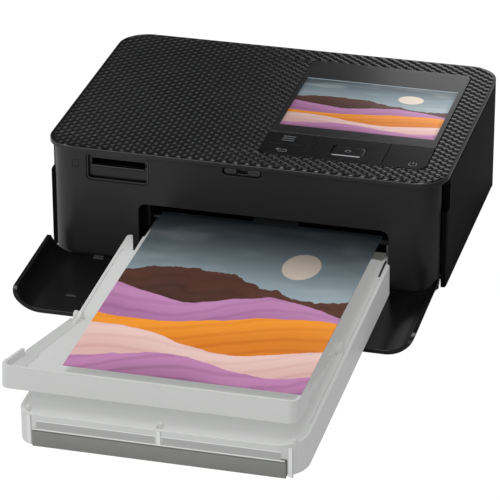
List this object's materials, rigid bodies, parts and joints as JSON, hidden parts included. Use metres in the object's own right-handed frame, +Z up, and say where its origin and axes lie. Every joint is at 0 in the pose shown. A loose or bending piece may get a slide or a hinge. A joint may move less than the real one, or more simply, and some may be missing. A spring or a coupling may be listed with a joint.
{
  "type": "compact photo printer",
  "caption": "Compact photo printer with a flip-down front cover, tilting output tray, slide-in paper cassette, hinged side cover and a display with keys on top.",
  "frame": {"origin": "centre of the bounding box's bottom face, on the table that the printer stands on", "axes": "+X to the right of the printer's front, +Y from the front to the back, +Z up"},
  "size_m": [0.1822, 0.2974, 0.0576],
  "materials": {
    "case_dark": "fine satin grain",
    "cover_top": "raised woven pattern, satin",
    "cover_black": "satin",
    "panel_glass": "gloss",
    "display": "gloss",
    "keys": "semi-gloss",
    "trim_black": "satin",
    "foot_rubber": "matt",
    "roller_rubber": "matt",
    "steel": "brushed",
    "aluminium": "matt",
    "board_green": "satin",
    "frosted": "frosted, translucent",
    "bar_grey": "satin",
    "sheet_white": "smooth",
    "print_face": "gloss-coated print",
    "gear_nylon": "satin",
    "brass": "satin",
    "ribbon_shell": "satin",
    "ribbon_dye": "gloss film",
    "ceramic": "glazed"
  },
  "bodies": {
    "printer": {"base_pan": "case_dark", "feet": "foot_rubber", "front_fascia": "case_dark", "top_cover": "cover_top", "left_panel": "case_dark", "rear_panel": "case_dark", "display_glass": "panel_glass", "display_module": "display", "latch_catch": "trim_black", "card_reader": "trim_black", "key_board": "board_green", "chassis": "steel", "paper_guide": "trim_black", "main_board": "board_green", "power_inlet": "trim_black", "data_port": "steel", "feed_motor": "steel", "case_screws": "steel", "hinge_pins": "steel", "ribbon_case": "ribbon_shell", "ribbon_film": "ribbon_dye", "idler_pin": "steel", "head_pivot": "steel", "lever_pin": "steel"},
    "front_cover": {"front_door": "cover_black"},
    "side_cover": {"ink_cover": "case_dark"},
    "menu_rocker": {"menu_key": "keys"},
    "pad_ring": {"pad_gimbal": "gear_nylon"},
    "four_way_pad": {"nav_pad": "keys"},
    "centre_key": {"ok_key": "keys"},
    "standby_key": {"power_key": "keys"},
    "cassette": {"cassette_body": "frosted", "front_bar": "bar_grey", "inner_lid": "frosted", "paper_stack": "sheet_white", "lift_springs": "steel"},
    "lift": {"lift_plate": "bar_grey"},
    "tray": {"output_tray": "frosted", "tray_pins": "frosted"},
    "print": {"print_sheet": "print_face"},
    "capstan_shaft": {"capstan": "steel", "capstan_gear": "gear_nylon"},
    "pinch": {"pinch_roller": "trim_black"},
    "platen": {"platen_shaft": "steel", "platen_sleeve": "roller_rubber"},
    "pickup": {"pickup_shaft": "steel", "pickup_tyre": "roller_rubber"},
    "pinion": {"motor_pinion": "brass"},
    "idler": {"idler_gear": "gear_nylon"},
    "head": {"head_arm": "steel", "heat_sink": "aluminium", "print_head": "ceramic"},
    "supply": {"supply_spool": "ribbon_dye"},
    "takeup": {"takeup_spool": "ribbon_dye"},
    "lever": {"eject_lever": "trim_black"}
  },
  "joints": [
    {"name": "front_cover_swing", "type": "hinge", "parent": "printer", "child": "front_cover", "pos_m": [0, 0.01566, 0.0028], "axis": [-1, 0, 0], "range_deg": [0, 1]},
    {"name": "side_cover_swing", "type": "hinge", "parent": "printer", "child": "side_cover", "pos_m": [0.0871, 0.07566, 0.0061], "axis": [0, 1, 0], "range_deg": [0, 92]},
    {"name": "menu_rock", "type": "hinge", "parent": "printer", "child": "menu_rocker", "pos_m": [0.0146, 0.04181, 0.0551], "axis": [1, 0, 0], "range_deg": [-1.5, 1.5], "stiffness_Nm_per_rad": 0.2},
    {"name": "pad_rock_front_back", "type": "hinge", "parent": "printer", "child": "pad_ring", "pos_m": [0.0428, 0.04091, 0.0543], "axis": [1, 0, 0], "range_deg": [-1.2, 1.2], "stiffness_Nm_per_rad": 0.3},
    {"name": "pad_rock_left_right", "type": "hinge", "parent": "pad_ring", "child": "four_way_pad", "pos_m": [0.0428, 0.04091, 0.0552], "axis": [0, 1, 0], "range_deg": [-1.2, 1.2], "stiffness_Nm_per_rad": 0.3},
    {"name": "centre_press", "type": "slide", "parent": "four_way_pad", "child": "centre_key", "axis": [0, 0, -1], "range_m": [0, 0.0003], "stiffness_N_per_m": 500},
    {"name": "standby_press", "type": "slide", "parent": "printer", "child": "standby_key", "axis": [0, 0, -1], "range_m": [0, 0.0004], "stiffness_N_per_m": 500},
    {"name": "cassette_slide", "type": "slide", "parent": "printer", "child": "cassette", "axis": [0, -1, 0], "range_m": [0, 0.19]},
    {"name": "lift_plate_tilt", "type": "hinge", "parent": "cassette", "child": "lift", "pos_m": [0, -0.03699, 0.00622], "axis": [-1, 0, 0], "range_deg": [0, 0.5], "stiffness_Nm_per_rad": 5},
    {"name": "tray_tilt", "type": "hinge", "parent": "cassette", "child": "tray", "pos_m": [0, -0.06874, 0.0191], "axis": [1, 0, 0], "range_deg": [0, 2]},
    {"name": "print_feed", "type": "slide", "parent": "cassette", "child": "print", "axis": [0, 1, 0], "range_m": [0, 0.135]},
    {"name": "capstan_spin", "type": "hinge", "parent": "printer", "child": "capstan_shaft", "pos_m": [0, 0.04366, 0.0269], "axis": [1, 0, 0], "continuous": true},
    {"name": "pinch_spin", "type": "hinge", "parent": "printer", "child": "pinch", "pos_m": [0, 0.04366, 0.0334], "axis": [1, 0, 0], "continuous": true},
    {"name": "platen_spin", "type": "hinge", "parent": "printer", "child": "platen", "pos_m": [0, 0.07166, 0.0229], "axis": [1, 0, 0], "continuous": true},
    {"name": "idler_spin", "type": "hinge", "parent": "printer", "child": "idler", "pos_m": [0, 0.06396, 0.03429], "axis": [1, 0, 0], "continuous": true},
    {"name": "motor_spin", "type": "hinge", "parent": "printer", "child": "pinion", "pos_m": [0, 0.0769, 0.0437], "axis": [1, 0, 0], "continuous": true},
    {"name": "pickup_spin", "type": "hinge", "parent": "printer", "child": "pickup", "pos_m": [0, 0.02766, 0.0218], "axis": [1, 0, 0], "continuous": true},
    {"name": "head_lift", "type": "hinge", "parent": "printer", "child": "head", "pos_m": [0, 0.10866, 0.0476], "axis": [-1, 0, 0], "range_deg": [0, 1.2], "stiffness_Nm_per_rad": 1},
    {"name": "takeup_spin", "type": "hinge", "parent": "printer", "child": "takeup", "pos_m": [0, 0.05366, 0.0414], "axis": [1, 0, 0], "continuous": true},
    {"name": "supply_spin", "type": "hinge", "parent": "printer", "child": "supply", "pos_m": [0, 0.09366, 0.0399], "axis": [1, 0, 0], "continuous": true},
    {"name": "eject_lever_swing", "type": "hinge", "parent": "printer", "child": "lever", "pos_m": [0, 0.11066, 0.0185], "axis": [1, 0, 0], "range_deg": [0, 12], "stiffness_Nm_per_rad": 0.05}
  ],
  "couplings": [
    {"joint": "capstan_spin", "follows": "print_feed", "rad_per_m": -333.33},
    {"joint": "pinch_spin", "follows": "print_feed", "rad_per_m": 333.33},
    {"joint": "platen_spin", "follows": "print_feed", "rad_per_m": -142.86},
    {"joint": "idler_spin", "follows": "print_feed", "rad_per_m": 266.67},
    {"joint": "motor_spin", "follows": "print_feed", "rad_per_m": -800},
    {"joint": "supply_spin", "follows": "takeup_spin", "ratio": 1}
  ]
}
